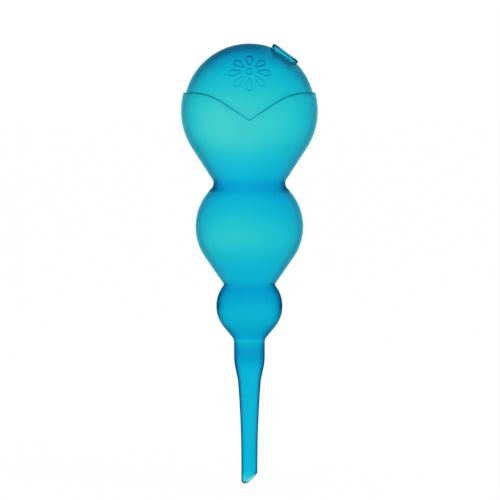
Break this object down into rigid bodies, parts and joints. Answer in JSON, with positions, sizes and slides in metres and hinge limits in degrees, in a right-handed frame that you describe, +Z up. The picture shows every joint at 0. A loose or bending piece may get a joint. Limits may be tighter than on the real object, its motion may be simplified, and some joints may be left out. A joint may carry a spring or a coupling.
{
  "type": "watering globe",
  "caption": "Hollow watering globe of stacked bulbs over a tapering soil spike with an oblique outlet, filled through a stoppered hole in the side of its petal-edged dome.",
  "frame": {"origin": "on the main axis at the soil line, on the round collar at the top of the spike", "axes": "+Z up along the main axis from the outlet to the dome, -Y towards the front with the rosette, +X towards the side with the filler"},
  "size_m": [0.0914, 0.0908, 0.295],
  "materials": {
    "tinted_moulding": "hazy translucent turquoise, blow-moulded",
    "soft_seal": "soft satin, turquoise",
    "stopper_moulding": "translucent turquoise, injection-moulded"
  },
  "bodies": {
    "vessel": {"reservoir": "tinted_moulding", "filler_grommet": "soft_seal"},
    "stopper": {"filler_stopper": "stopper_moulding"}
  },
  "joints": [
    {"name": "stopper_pull", "type": "slide", "parent": "vessel", "child": "stopper", "axis": [0.5407, -0.0953, 0.8358], "range_m": [0, 0.025]}
  ]
}
